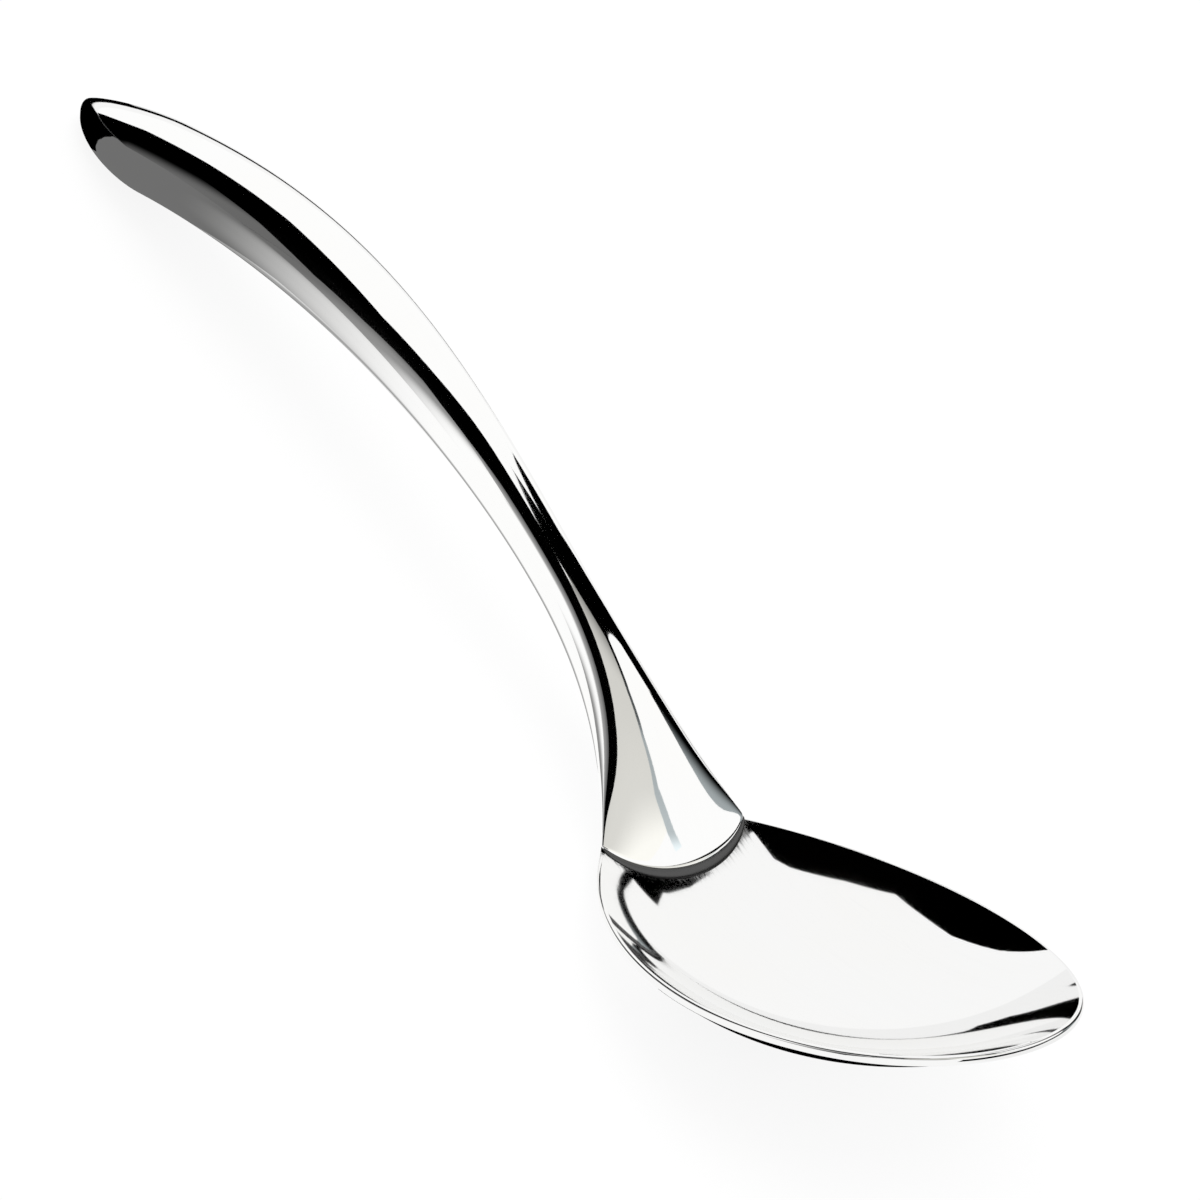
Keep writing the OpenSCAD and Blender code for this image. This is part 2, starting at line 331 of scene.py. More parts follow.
class Form:
    """The spoon's surfaces in the bowl's own axes: X to the front tip, Y across and Z up from
    the side rims. Its sizes and places are plain numbers, or values of a node tree."""

    def __init__(self, sizes):
        for name in SIZE_NAMES:
            setattr(self, name, sizes[name])
        total = self.front_length + self.rear_length
        self.centre = (self.front_length - self.rear_length) / 2
        self.reach = total / 2
        self.skew = (self.front_length - self.rear_length) / total
        self.middle = self.front_length * (1 - self.skew)
        self.mouth_x = self.mouth_in - self.rear_length
        self.mouth_half = self.rim_half(self.mouth_x)
        self.mouth_middle = Pair(self.mouth_x, self.rim_z(self.mouth_x) - self.sheet / 2)

    def along(self, x):
        return x / (self.middle + self.skew * x)

    def fullness(self, u):
        return 1 - u * u * REAR_TAPER_SHARE * (1 - u) / 2

    def rim_half(self, x):
        u = self.along(x)
        return self.bowl_width / 2 * root(most(0, 1 - u * u)) * self.fullness(u)

    def rim_z(self, x):
        u = self.along(x)
        mean = (self.front_rise + self.rear_rise) / 2
        change = (self.front_rise - self.rear_rise) / 2
        return u * u * (mean + change * u)

    def floor_z(self, x, y):
        u = self.along(x)
        across = y / (self.bowl_width / 2 * self.fullness(u))
        spread = least(1, u * u + across * across)
        end_share = mixed(EVEN_REAR_SHARE, EVEN_FRONT_SHARE, least(1, whole(u + 1)))
        even = mixed(EVEN_SIDE_SHARE, end_share, u * u)
        return self.rim_z(x) - self.bowl_depth * (1 - spread * (even + (1 - even) * spread))

    def sheet_z(self, side, x, y):
        """Height of the sheet's upper face (side 1) or lower face (side -1)."""
        return self.floor_z(x, y) - self.sheet * (1 - side) / 2

    def lap(self, side):
        return mixed(self.seat_length, self.mouth_lap, (1 + side) / 2)

    def lip_z(self, phi):
        return mixed(self.seat_clear, self.lip_height, power(most(0, sine(phi)), LIP_POWER))

    def lip_middle(self, side):
        x = self.mouth_x + self.lap(side)
        return Pair(x, self.sheet_z(side, x, 0) + side * self.lip_height)

    def middle_at(self, s):
        x = polynomial(HANDLE_X_FACTORS, s)
        z = polynomial(HANDLE_Z_FACTORS, s)
        return self.mouth_middle + Pair(0 - self.handle_reach * x, self.handle_rise * z)

    def step_at(self, s):
        x = polynomial(slope_factors(HANDLE_X_FACTORS), s)
        z = polynomial(slope_factors(HANDLE_Z_FACTORS), s)
        return Pair(0 - self.handle_reach * x, self.handle_rise * z)

    def back_at(self, s):
        return self.step_at(s).unit()

    def flare(self, s):
        return faded(s, NECK_SHARE)

    def swell(self, s):
        return ease((s - NECK_SHARE) / (GRIP_SHARE - NECK_SHARE))

    def half_width(self, s):
        flared = mixed(self.neck_width / 2, self.mouth_half, self.flare(s))
        return flared + (self.grip_width - self.neck_width) / 2 * self.swell(s)

    def half_height(self, s):
        return mixed(self.neck_height, self.grip_height, self.swell(s)) / 2

    def handle_length(self):
        """About the length of the handle's curve, for its polishing lines."""
        return self.handle_reach + self.handle_rise / 2

    def end_length(self, inner):
        """Share of the curve that the rounded end takes. The inner skin ends a wall earlier."""
        return 1 - END_SHARE - inner * self.shell / self.step_at(1.0).length()

    def section(self, side, s, left, phi, wall):
        """Point of the handle's half section: side 1 is the upper shell and -1 the lower one,
        left is the part of the section that the rounded end leaves, and wall is the depth."""
        middle = self.middle_at(s)
        back = self.back_at(s)
        up = Pair(back.z, 0 - back.x)
        flare = self.flare(s)
        half_height = self.half_height(s)
        rest = half_height - wall
        half = (self.half_width(s) - wall) * left
        closing = faded(s, SPLIT_SHARE)
        split = mixed(self.seam_width / 2, self.sheet / 2 + self.seat_clear, closing)
        split_way = mixed(up, Pair(0, 1), flare).unit()
        seam = split_way * (split * side)
        start_back = self.back_at(0.0)
        start_up = Pair(start_back.z, 0 - start_back.x)
        mouth = self.lip_middle(side) - self.mouth_middle
        reach = mixed(half_height, mouth.length(), flare) - wall
        lean = arc_tangent(0 - mouth.dot(start_back), side * mouth.dot(start_up)) * flare
        crown = up * (reach * side * cosine(lean)) - back * (reach * sine(lean))
        lift = up * (END_LIFT_SHARE * rest * (1 - left))
        bulge = (crown - seam) * (left * power(most(0, sine(phi)), mixed(1, MOUTH_POWER, flare)))
        place = middle + lift + seam + bulge
        return place, half * cosine(phi)

    def mouth_section(self, side, phi, wall):
        """The half section where the handle starts, before it is bent to the sheet."""
        seam = Pair(0, side * (self.sheet / 2 + self.seat_clear))
        mouth = self.lip_middle(side) - self.mouth_middle
        inward = mouth * (wall / mouth.length())
        bulge = (mouth - inward - seam) * power(most(0, sine(phi)), MOUTH_POWER)
        return self.mouth_middle + seam + bulge, (self.mouth_half - wall) * cosine(phi)

    def scribed(self, side, s, left, phi, wall):
        """The half section, bent near the mouth so that its edge lies along the sheet."""
        place, y = self.section(side, s, left, phi, wall)
        start, start_y = self.mouth_section(side, phi, wall)
        gap = mixed(self.lip_z(phi), self.seat_clear, least(1, wall / self.shell))
        edge = self.sheet_z(side, start.x, start_y) + side * gap
        return Pair(place.x, place.z + faded(s, SCRIBE_SHARE) * (edge - start.z)), y

    def belly(self, s, left):
        """Point of the underside's middle line."""
        place, _ = self.scribed(-1, s, left, math.pi / 2, 0)
        return place


def end_left(s):
    """Part of the section that the rounded end leaves at this share of the handle's curve."""
    run = max(0, s - END_SHARE) / (1 - END_SHARE)
    return math.pow(1 - math.pow(run, END_POWER), 1 / END_POWER)


def end_outline(share):
    """At this share of the end's rows, the share of its length that is run, and the part of the
    section that is left."""
    angle = share * math.pi / 2
    return power(sine(angle), 2 / END_POWER), power(most(0, cosine(angle)), 2 / END_POWER)


def plain_sizes(sizes):
    return {name: getattr(sizes, name) for name in SIZE_NAMES}


def rest_pose(sizes):
    """Tilt and place of the spoon as it lies on a table, on the heel of the handle's mouth and
    the underside of the handle's end."""
    form = Form(plain_sizes(sizes))
    heel = form.belly(0, 1)
    tilt = math.pi
    for i in range(REST_STEPS + 1):
        s = REST_FROM_SHARE + (1 - REST_FROM_SHARE) * i / REST_STEPS
        place = form.belly(s, end_left(s))
        tilt = min(tilt, math.atan2(place.z - heel.z, heel.x - place.x))
    low = heel.x * math.sin(tilt) + heel.z * math.cos(tilt)
    tip_z = form.rim_z(form.front_length) - form.sheet
    front = form.front_length * math.cos(tilt) - tip_z * math.sin(tilt)
    cad_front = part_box("bowl")[1].x
    return tilt, Vector((cad_front - front, 0, -low))


class Piece:
    """A Geometry Nodes tree that bends a grid of unit size into one piece of the spoon."""

    def __init__(self, name, rows, columns, extra=()):
        self.group = bpy.data.node_groups.new(name, "GeometryNodeTree")
        self.tree = Tree(self.group)
        self.identifiers = {}
        for label in SIZE_NAMES + ("rest_tilt", "rest_x", "rest_z") + extra:
            self.identifiers[label] = self.add_socket(label, "INPUT", "NodeSocketFloat")
        self.identifiers["Material"] = self.add_socket("Material", "INPUT", "NodeSocketMaterial")
        self.add_socket("Geometry", "OUTPUT", "NodeSocketGeometry")
        self.source = self.tree.node("NodeGroupInput")
        self.form = Form({label: self.input(label) for label in SIZE_NAMES})
        self.grid = self.tree.node(
            "GeometryNodeMeshGrid",
            {},
            {"Size X": 1.0, "Size Y": 1.0, "Vertices X": rows + 1, "Vertices Y": columns + 1},
        )
        index = self.tree.value("GeometryNodeInputIndex")
        self.row = whole((index + 0.5) / (columns + 1))
        self.column = index - self.row * (columns + 1)

    def add_socket(self, name, in_out, kind):
        return self.group.interface.new_socket(name=name, in_out=in_out, socket_type=kind).identifier

    def input(self, name):
        return Value(self.tree, self.source.outputs[name])

    def passed(self, kind, geometry, inputs=None, settings=None, socket="Geometry"):
        """The geometry that a node gives back."""
        return self.tree.node(kind, settings, {socket: geometry, **(inputs or {})}).outputs[0]

    def finish(self, place, y, grain, flip):
        """Moves the grid's points to their places, closes the skin, turns the faces round where
        flip is true, so that they point outwards, and lays the piece at rest."""
        tree = self.tree
        made = self.passed(
            "GeometryNodeSetPosition",
            self.grid.outputs["Mesh"],
            {"Position": tree.vector(place.x, y, place.z)},
        )
        made = self.passed(
            "GeometryNodeStoreNamedAttribute",
            made,
            {"Name": "grain", "Value": tree.vector(*grain)},
            {"data_type": "FLOAT_VECTOR", "domain": "POINT"},
        )
        made = self.passed("GeometryNodeMergeByDistance", made, {"Distance": MERGE_DISTANCE})
        made = self.passed("GeometryNodeFlipFaces", made, {"Selection": flip}, socket="Mesh")
        turn = tree.vector(0.0, 0 - self.input("rest_tilt"), 0.0)
        shift = tree.vector(self.input("rest_x"), 0.0, self.input("rest_z"))
        made = self.passed("GeometryNodeTransform", made, {"Translation": shift, "Rotation": turn})
        made = self.passed("GeometryNodeSetShadeSmooth", made)
        made = self.passed("GeometryNodeRealizeInstances", made)
        made = self.passed("GeometryNodeSetMaterial", made, {"Material": self.source.outputs["Material"]})
        tree.node("NodeGroupOutput", {}, {"Geometry": made})


def make_piece(name, piece, values, material):
    """Runs a piece's tree on an empty mesh and keeps the result as a plain object."""
    carrier = bpy.data.objects.new(name + "_tree", bpy.data.meshes.new(name + "_tree"))
    bpy.context.scene.collection.objects.link(carrier)
    modifier = carrier.modifiers.new("Form", "NODES")
    modifier.node_group = piece.group
    for label, identifier in piece.identifiers.items():
        modifier[identifier] = material if label == "Material" else values[label]
    bpy.context.view_layer.update()
    evaluated = carrier.evaluated_get(bpy.context.evaluated_depsgraph_get())
    mesh = bpy.data.meshes.new_from_object(evaluated)
    carrier.modifiers.remove(modifier)
    bpy.data.objects.remove(carrier)
    mesh.name = name
    mesh.set_sharp_from_angle(angle=SHARP_ANGLE)
    made = bpy.data.objects.new(name, mesh)
    bpy.context.scene.collection.objects.link(made)
    return made


def piece_values(context, **extra):
    """The values of a tree's named inputs."""
    sizes = context.scene.spoon_sizes
    tilt, place = rest_pose(sizes)
    rest = {"rest_tilt": tilt, "rest_x": place.x, "rest_z": place.z}
    return {**plain_sizes(sizes), **rest, **extra}


def bowl_tree():
    """The sheet: rows run back from the front tip to the mouth, and on along the tongue, and
    each row's columns go over the upper face, round one edge, back below and round the other.
    The last row closes the tongue's end."""
    rows = BOWL_ROWS + 1 + TONGUE_ROWS + 1
    piece = Piece("Bowl sheet", rows, 2 * (SHEET_COLUMNS + RIM_COLUMNS))
    form, row, column = piece.form, piece.row, piece.column
    back = clamp(row / BOWL_ROWS)
    narrow = clamp(row - BOWL_ROWS)
    tongue = clamp((row - BOWL_ROWS - 1) / TONGUE_ROWS)
    open_row = clamp(rows - row)
    above = clamp(column / SHEET_COLUMNS)
    below = clamp((column - SHEET_COLUMNS - RIM_COLUMNS) / SHEET_COLUMNS)
    first_edge = clamp((column - SHEET_COLUMNS) / RIM_COLUMNS)
    second_edge = clamp((column - 2 * SHEET_COLUMNS - RIM_COLUMNS) / RIM_COLUMNS)
    across = cosine(below * math.pi) - cosine(above * math.pi) - 1
    turn = (first_edge - second_edge) * math.pi
    outward = power(most(0, sine(turn)), RIM_POWER)
    level = cosine(turn)
    upward = level / root(power(most(level * level, LEAST_SQUARE), 1 - RIM_POWER))
    last_turn = arc_cosine((form.mouth_x - form.centre) / form.reach)
    x = form.centre + form.reach * cosine(last_turn * back)
    inset = form.rim_round / form.reach
    flat = 1 - inset
    drawn = 1 - inset * (1 - outward)
    tongue_half = (form.mouth_half - form.shell - form.tongue_clear) / form.mouth_half
    share = across * mixed(1, tongue_half, narrow)
    y = share * form.rim_half(x)
    flat_x = form.centre + (x - form.centre) * flat
    top = form.floor_z(flat_x, y * flat)
    bowl_place = Pair(form.centre + (x - form.centre) * drawn, top - form.sheet / 2 * (1 - upward))
    bowl_y = y * drawn
    s = tongue * TONGUE_SHARE
    way = form.back_at(s)
    level_up = mixed(Pair(0, 1), Pair(way.z, 0 - way.x), clamp(2 * tongue)).unit()
    dish = form.floor_z(form.mouth_x, across * tongue_half * form.mouth_half) - form.rim_z(form.mouth_x)
    spine = form.middle_at(s) + Pair(0, dish * (1 - tongue))
    tongue_place = spine + level_up * (form.sheet / 2 * upward * open_row)
    even = mixed(across, 2 * (above - below) - 1, tongue)
    rounding = form.sheet / 4 * (1 - outward)
    tongue_y = even * (form.half_width(s) - form.shell - form.tongue_clear - rounding)
    inside = clamp((row - BOWL_ROWS - 1) * 2)
    place = mixed(bowl_place, tongue_place, inside)
    place_y = mixed(bowl_y, tongue_y, inside)
    off_middle = place_y / form.mouth_half
    lap = form.mouth_lap * power(most(0, 1 - off_middle * off_middle), MOUTH_POWER / 2)
    from_mouth = place.x - form.mouth_x - lap
    piece.finish(place, place_y, (place.x, place_y, from_mouth), True)
    return piece


def shell_tree():
    """A half shell: the first row closes the lip's foot, and the others run up its front, over
    its rounded edge, along the handle and round its end. Columns go over the outside, back
    along the inside and to the outside again."""
    columns = 2 * (SHELL_COLUMNS + 1)
    piece = Piece("Handle shell", 2 + LIP_ROWS + BODY_ROWS + END_ROWS, columns, ("side",))
    form, row, column = piece.form, piece.row, piece.column
    side = piece.input("side")
    over = clamp(column / SHELL_COLUMNS)
    under = clamp((column - SHELL_COLUMNS - 1) / SHELL_COLUMNS)
    inner = clamp(column - SHELL_COLUMNS) - clamp(column - columns + 1)
    phi = (over - under) * math.pi
    lip = clamp((row - 2) / LIP_ROWS)
    body = clamp((row - 2 - LIP_ROWS) / BODY_ROWS)
    run, left = end_outline(clamp((row - 2 - LIP_ROWS - BODY_ROWS) / END_ROWS))
    wall = form.shell * most(inner, 1 - row)
    back_share = LIP_BACK_SHARE * (1 - inner)
    s = mixed(back_share, END_SHARE, body) + form.end_length(inner) * run
    skin, y = form.scribed(side, s, left, phi, wall)
    start, corner_y = form.mouth_section(side, phi, wall)
    foot_z = form.sheet_z(side, start.x, corner_y) + side * form.seat_clear
    gap = mixed(form.lip_z(phi) - form.seat_clear, 0, inner)
    corner = Pair(start.x, foot_z + side * gap)
    rise = clamp(row - 1) * (1 - LIP_ROUND_SHARE)
    low = Pair(corner.x, mixed(foot_z, corner.z, rise))
    first_leg = (1 - lip) * (1 - lip)
    second_leg = 2 * lip * (1 - lip)
    last_leg = lip * lip
    place = low * first_leg + corner * second_leg + skin * last_leg
    across = corner_y * (first_leg + second_leg) + y * last_leg
    grain = (s * form.handle_length(), phi * form.grip_width / 2 + inner, 1.0)
    piece.finish(place, across, grain, 0 - side)
    return piece


def seam_tree():
    """The bead between the shells: rows run from one corner of the mouth round the end to the
    other corner, with a row at each end that closes it, and columns go round its four faces."""
    reach = BODY_ROWS + END_ROWS
    rows = 2 * reach + 2
    piece = Piece("Seam weld", rows, 4)
    form, row, column = piece.form, piece.row, piece.column
    open_row = clamp(row) * clamp(rows - row)
    far = clamp((row - 1) / reach)
    near = clamp((row - 1 - reach) / reach)
    place_row = (far - near) * reach
    body = clamp(place_row / BODY_ROWS)
    run, left = end_outline(clamp((place_row - BODY_ROWS) / END_ROWS))
    lower = (clamp(column) - clamp(column - 2)) * open_row
    inner = (clamp(column - 1) - clamp(column - 3)) * open_row
    side = 1 - 2 * lower
    s = END_SHARE * body + form.end_length(inner) * run
    phi = clamp(row - 1 - reach) * math.pi
    place, y = form.scribed(side, s, left, phi, form.shell * inner)
    piece.finish(place, y, (s * form.handle_length(), column * form.seam_width / 2, 1.0), True)
    return piece


def mouth_weld_tree():
    """The fillet round the mouth: rows follow the lip from corner to corner, with a row at each
    end that closes it, and columns go down its hollow face and back along the lip."""
    rows = WELD_ROWS + 2
    piece = Piece("Mouth weld", rows, WELD_COLUMNS + 2, ("side",))
    form, row, column = piece.form, piece.row, piece.column
    side = piece.input("side")
    open_row = clamp(row) * clamp(rows - row)
    phi = mixed(WELD_FROM, math.pi - WELD_FROM, clamp((row - 1) / WELD_ROWS))
    slope = form.lap(side) * MOUTH_POWER * power(sine(phi), MOUTH_POWER - 1) * cosine(phi)
    out_x = form.mouth_half * sine(phi)
    span = root(out_x * out_x + slope * slope)
    fall = clamp(column / WELD_COLUMNS)
    home = clamp(column - WELD_COLUMNS)
    away = (1 - cosine(fall * math.pi / 2)) * (1 - home)
    tall = 1 - sine(fall * math.pi / 2) + clamp(column - WELD_COLUMNS - 1)
    leg = form.weld_leg * sine(phi) * open_row
    height = WELD_HEIGHT_SHARE * (form.lip_z(phi) - form.seat_clear) * open_row
    shift = form.seat_clear + leg * away
    x = form.mouth_x + form.lap(side) * power(sine(phi), MOUTH_POWER) + shift * out_x / span
    y = form.mouth_half * cosine(phi) + shift * slope / span
    z = form.sheet_z(side, x, y) + side * (form.seat_clear + height * tall)
    piece.finish(Pair(x, z), y, (phi * form.mouth_half, fall * form.weld_leg, 1.0), 0 - side)
    return piece


class SteelLook(bpy.types.PropertyGroup):
    """Finish of the polished stainless steel."""

    tone: bpy.props.FloatVectorProperty(
        name="Tone",
        description="Colour that the polished steel mirrors",
        default=(0.98, 0.98, 0.975), min=0, max=1, subtype="COLOR",
    )
    polish: bpy.props.FloatProperty(
        name="Polish",
        description="Roughness of the cleanest polished steel",
        default=0.03, min=0, max=1, subtype="FACTOR",
    )
    wear: bpy.props.FloatProperty(
        name="Wear",
        description="How much the polishing lines and handling marks add to the roughness",
        default=0.14, min=0, max=1, subtype="FACTOR",
    )
    line_depth: bpy.props.FloatProperty(
        name="Line depth",
        description="Depth of the polishing lines and of the hairline scratches",
        default=0.0007 * MM, unit="LENGTH", precision=6,
    )
    wave_depth: bpy.props.FloatProperty(
        name="Wave depth",
        description="Depth of the faint waviness that pressing and polishing leave",
        default=0.006 * MM, unit="LENGTH", precision=6,
    )


def new_material(name):
    """An empty material and its node tree."""
    material = bpy.data.materials.new(name)
    material.use_nodes = True
    material.node_tree.nodes.clear()
    return material, Tree(material.node_tree)


def noise(tree, place, scales, detail, turn=0.0):
    """Noise between nought and one, whose grains are stretched by a scale for each direction."""
    stretched = tree.node(
        "ShaderNodeMapping",
        {"vector_type": "TEXTURE"},
        {"Vector": place, "Rotation": (0.0, 0.0, turn), "Scale": tuple(1 / scale for scale in scales)},
    )
    return tree.value(
        "ShaderNodeTexNoise",
        {"noise_dimensions": "3D"},
        {"Vector": stretched.outputs[0], "Scale": 1.0, "Detail": detail, "Roughness": NOISE_ROUGHNESS},
    )


def mixed_colour(tree, first, second, share):
    """A colour between two others, each a plain colour or a node's output."""
    pair = [(*colour, 1) if isinstance(colour, Vector) else colour for colour in (first, second)]
    mix = tree.node("ShaderNodeMix", {"data_type": "RGBA"}, {0: share, 6: pair[0], 7: pair[1]})
    return mix.outputs[2]


def raised(pattern, start, gain):
    """How far a pattern stands above a start, times a gain, between nought and one."""
    return clamp((pattern - start) * gain)


# Scales of the finish's noise, along and across the polishing lines or each way
LINE_SCALES = (70, 2400, 0.01)
BAND_SCALES = (16, 210, 0.01)
CLOUD_SCALES = (38, 38, 38)
SPECK_SCALES = (900, 900, 900)
WAVE_SCALES = (85, 85, 85)
NOISE_ROUGHNESS = 0.55
# Hairline scratches: turn from the polishing lines, in degrees, and scales
SCRATCHES = ((8, (60, 1500, 0.01)), (-14, (85, 1830, 0.01)), (37, (110, 2160, 0.01)))
# Where each pattern starts to show, and how steeply it rises from there
SMEAR_RISE = (0.42, 2.4)
LINE_RISE = (0.4, 2)
BAND_RISE = (0.35, 2)
SCRATCH_RISE = (0.74, 10)
SPECK_RISE = (0.66, 6)
# What each mark adds to the wear
BRUSHED_WEAR = 0.45
SMEAR_WEAR = 0.3
SCRATCH_WEAR = 0.35
SPECK_WEAR = 0.3
MOUTH_SHADE_WEAR = 1.6
GROUND_WEAR = 0.9
# Tint of the smears, tone of worn steel, and the dark tone of the painted shade on the bowl along the mouth
# and on the fillets, as shares of the steel's tone
SMEAR_TINT = (1, 0.99, 0.97)
WORN_TONE = 0.93
SHADE_TONE = 0.05
# How strongly each mark shows, the painted shade along the mouth and on the fillets among them, and how much
# more the fillets' painted shade shows on their brushed places
SMEAR_STRENGTH = 0.7
BRUSHED_STRENGTH = 0.4
SCRATCH_STRENGTH = 0.3
MOUTH_SHADE_STRENGTH = 0.85
WELD_SHADE_STRENGTH = 0.88
WELD_SHADE_BRUSHED = 0.2
# For each finish: shares of the wear, of the brightness and of ground weld metal. On the fillets the ground
# share adds roughness, and together with their low brightness it darkens them as painted shade under the lip
FINISH_SHARES = {"bowl": (1, 0.95, 0), "handle": (0.8, 1, 0), "fillet": (1.6, 0.6, 1)}
# How far the painted shade runs out from the mouth over the bowl, and how its edge is frayed
MOUTH_SHADE_REACH = 3 * MM
MOUTH_SHADE_FRAY = 1.2


def steel_material(name, look, wear_share, bright_share, ground_and_shade_share):
    """Mirror-polished steel with polishing lines along the piece, a few hairline scratches, cloudy wiping
    marks, a faint waviness, and painted shade: the bowl is darkened and roughened along the edge of the
    mouth, and the ground fillets are darkened."""
    material, tree = new_material(name)
    grain = tree.node("ShaderNodeAttribute", {"attribute_name": "grain"}).outputs["Vector"]
    place = tree.place()
    from_mouth = tree.parts(grain)[2]
    lines = noise(tree, grain, LINE_SCALES, 3.0)
    bands = noise(tree, grain, BAND_SCALES, 2.0)
    clouds = noise(tree, place, CLOUD_SCALES, 4.0)
    specks = noise(tree, place, SPECK_SCALES, 2.0)
    waves = noise(tree, place, WAVE_SCALES, 1.0)
    scratches = 0
    for turn, scales in SCRATCHES:
        hairs = noise(tree, grain, scales, 1.0, math.radians(turn))
        scratches = most(scratches, raised(hairs, *SCRATCH_RISE))
    smear = raised(clouds, *SMEAR_RISE)
    brushed = raised(lines, *LINE_RISE) * raised(bands, *BAND_RISE)
    # Painted shade: near the mouth the bowl's colour darkens almost to black, frayed along the polishing
    # lines, for the shade under the lip; it also adds roughness
    mouth_shade = 1 - clamp(most(0, from_mouth) / MOUTH_SHADE_REACH - (lines - 0.5) * MOUTH_SHADE_FRAY)
    mouth_shade = clamp(mouth_shade * mouth_shade * mouth_shade)
    marks = brushed * BRUSHED_WEAR + smear * SMEAR_WEAR + scratches * SCRATCH_WEAR
    marks = marks + raised(specks, *SPECK_RISE) * SPECK_WEAR
    marks = marks + mouth_shade * MOUTH_SHADE_WEAR + ground_and_shade_share * GROUND_WEAR
    rough = look.polish + look.wear * wear_share * marks
    tone = Vector(look.tone) * bright_share
    warm = Vector([part * share for part, share in zip(tone, SMEAR_TINT)])
    clean = mixed_colour(tree, tone, warm, smear * SMEAR_STRENGTH)
    worn_share = clamp(brushed * BRUSHED_STRENGTH + scratches * SCRATCH_STRENGTH)
    worn = mixed_colour(tree, clean, tone * WORN_TONE, worn_share)
    # Painted shade: the fillets' colour is pushed almost to black, more on brushed places, for the shade
    # under the lip
    weld_shade = ground_and_shade_share * (WELD_SHADE_STRENGTH + brushed * WELD_SHADE_BRUSHED)
    colour = mixed_colour(tree, worn, tone * SHADE_TONE, clamp(mouth_shade * MOUTH_SHADE_STRENGTH + weld_shade))
    height = lines * look.line_depth + waves * look.wave_depth - scratches * (look.line_depth / 2)
    bump = tree.node("ShaderNodeBump", {}, {"Strength": 1.0, "Distance": 1.0, "Height": height})
    shader = tree.node(
        "ShaderNodeBsdfPrincipled",
        {},
        {"Base Color": colour, "Metallic": 1.0, "Roughness": rough, "Normal": bump.outputs[0]},
    )
    tree.node("ShaderNodeOutputMaterial", {}, {"Surface": shader.outputs[0]})
    return material


# The steels that are made, by their finish
STEEL = {}


class SPOON_OT_bowl(bpy.types.Operator):
    """Build the pressed bowl with its tongue"""

    bl_idname = "spoon.bowl"
    bl_label = "Bowl"

    def execute(self, context):
        piece = make_piece("bowl_sheet", bowl_tree(), piece_values(context), steel("bowl", context))
        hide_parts("bowl")
        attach(piece, "root")
        return {"FINISHED"}


class SPOON_OT_shells(bpy.types.Operator):
    """Build the two pressed half shells of the handle"""

    bl_idname = "spoon.shells"
    bl_label = "Handle shells"

    def execute(self, context):
        tree = shell_tree()
        for name, node, side in (
            ("top_pressing", "handle_upper_shell", 1.0),
            ("bottom_pressing", "handle_lower_shell", -1.0),
        ):
            values = piece_values(context, side=side)
            piece = make_piece(name, tree, values, steel("handle", context))
            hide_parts(node)
            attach(piece, "root")
        return {"FINISHED"}


class SPOON_OT_seam(bpy.types.Operator):
    """Build the bead that joins the two shells"""

    bl_idname = "spoon.seam"
    bl_label = "Seam weld"

    def execute(self, context):
        piece = make_piece("seam_bead", seam_tree(), piece_values(context), steel("handle", context))
        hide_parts("seam_weld")
        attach(piece, "root")
        return {"FINISHED"}


class SPOON_OT_mouth_welds(bpy.types.Operator):
    """Build the fillets that join the handle's mouth to the bowl"""

    bl_idname = "spoon.mouth_welds"
    bl_label = "Mouth welds"

    def execute(self, context):
        tree = mouth_weld_tree()
        for name, node, side in (
            ("upper_fillet", "upper_mouth_weld", 1.0),
            ("lower_fillet", "lower_mouth_weld", -1.0),
        ):
            values = piece_values(context, side=side)
            piece = make_piece(name, tree, values, steel("fillet", context))
            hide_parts(node)
            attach(piece, "root")
        return {"FINISHED"}


def steel(finish, context):
    """The steel of one finish, made on its first use."""
    if finish not in STEEL:
        STEEL[finish] = steel_material(finish + "_steel", context.scene.spoon_look, *FINISH_SHARES[finish])
    return STEEL[finish]


class StudioSetup(bpy.types.PropertyGroup):
    """Camera, floor and light round the spoon."""

    azimuth: bpy.props.FloatProperty(
        name="Azimuth",
        description="Angle of the camera round the bowl, from its front tip towards its near side",
        default=math.radians(41.56), subtype="ANGLE",
    )
    elevation: bpy.props.FloatProperty(
        name="Elevation",
        description="Angle of the camera above the plane of the bowl's side rims",
        default=math.radians(18.89), subtype="ANGLE",
    )
    roll: bpy.props.FloatProperty(
        name="Roll",
        description="Turn of the camera round its own view",
        default=math.radians(6.8), subtype="ANGLE",
    )
    distance: size("Distance", 392.5, "Distance of the camera from the bowl, along its view")
    lens: bpy.props.FloatProperty(
        name="Lens",
        description="Focal length on a sensor 36 mm wide",
        default=85,
    )
    room: size("Room", 1500, "Distance from the spoon to the cards round it")
    light: bpy.props.FloatProperty(
        name="Light",
        description="Strength of the white room as light on the floor",
        default=0.9, min=0,
    )
    lamp: bpy.props.FloatProperty(
        name="Lamp",
        description="Power of the soft lamp overhead",
        default=12, min=0, unit="POWER",
    )
    floor_lift: bpy.props.FloatProperty(
        name="Floor lift",
        description="How much of the floor is its plain white, which takes no shadow",
        default=0.88, min=0, max=1, subtype="FACTOR",
    )


# Width of the photo in pixels and of the camera's sensor in millimetres
PICTURE = 1200
SENSOR = 36
# Place in the picture of the middle of the bowl's widest line, in pixels from its top left
BOWL_IN_PICTURE = (838.1, 943.5)


class SPOON_OT_studio(bpy.types.Operator):
    """Set up the camera, the floor and the light"""

    bl_idname = "spoon.studio"
    bl_label = "Studio"

    def execute(self, context):
        setup = context.scene.spoon_studio
        set_camera(context, setup)
        set_world(context, setup)
        add_floor(context, setup)
        add_cards(context, setup)
        add_lamp(context, setup)
        context.scene.view_settings.view_transform = "Standard"
        return {"FINISHED"}


